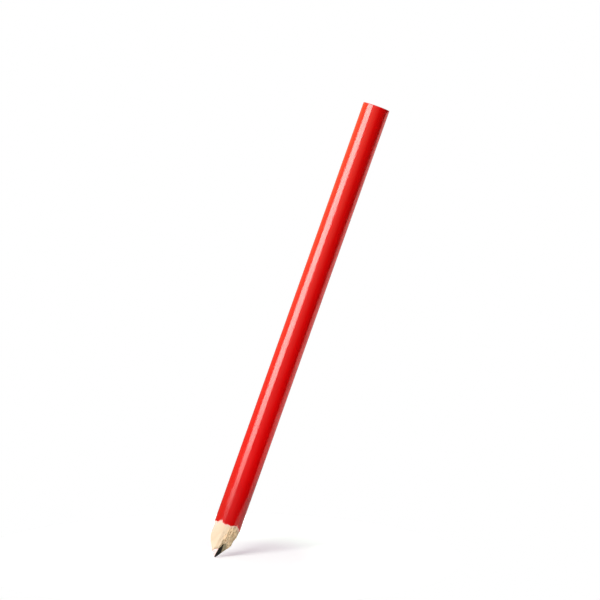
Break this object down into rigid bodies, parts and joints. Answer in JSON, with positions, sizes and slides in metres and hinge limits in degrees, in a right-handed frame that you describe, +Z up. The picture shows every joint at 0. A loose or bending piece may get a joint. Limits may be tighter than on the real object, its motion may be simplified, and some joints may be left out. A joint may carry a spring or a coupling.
{
  "type": "wooden pencil",
  "caption": "Oval carpenter's pencil: a flat graphite lead glued between wooden slats, lacquered red, with a hand-cut faceted point and a flat sawn end.",
  "frame": {"origin": "on the surface that the pencil lies on, below the middle of its length and width", "axes": "+X along the pencil towards its point, +Y across its width, +Z up through its thickness"},
  "size_m": [0.176, 0.01, 0.007],
  "materials": {
    "wood": "bare, knife-cut, with straight grain and torn fibres",
    "graphite": "dark grey graphite and clay, with a metallic sheen where the blade has polished it",
    "glue": "dried wood glue, dull and slightly yellow",
    "undercoat": "thin pale sealing coat, matte",
    "lacquer": "smooth glossy red lacquer"
  },
  "bodies": {
    "root": {"upper_slat": "wood", "lower_slat": "wood", "graphite_lead": "graphite", "upper_lead_bed": "glue", "lower_lead_bed": "glue", "right_glue_seam": "glue", "left_glue_seam": "glue", "undercoat": "undercoat", "red_lacquer": "lacquer"}
  },
  "joints": []
}
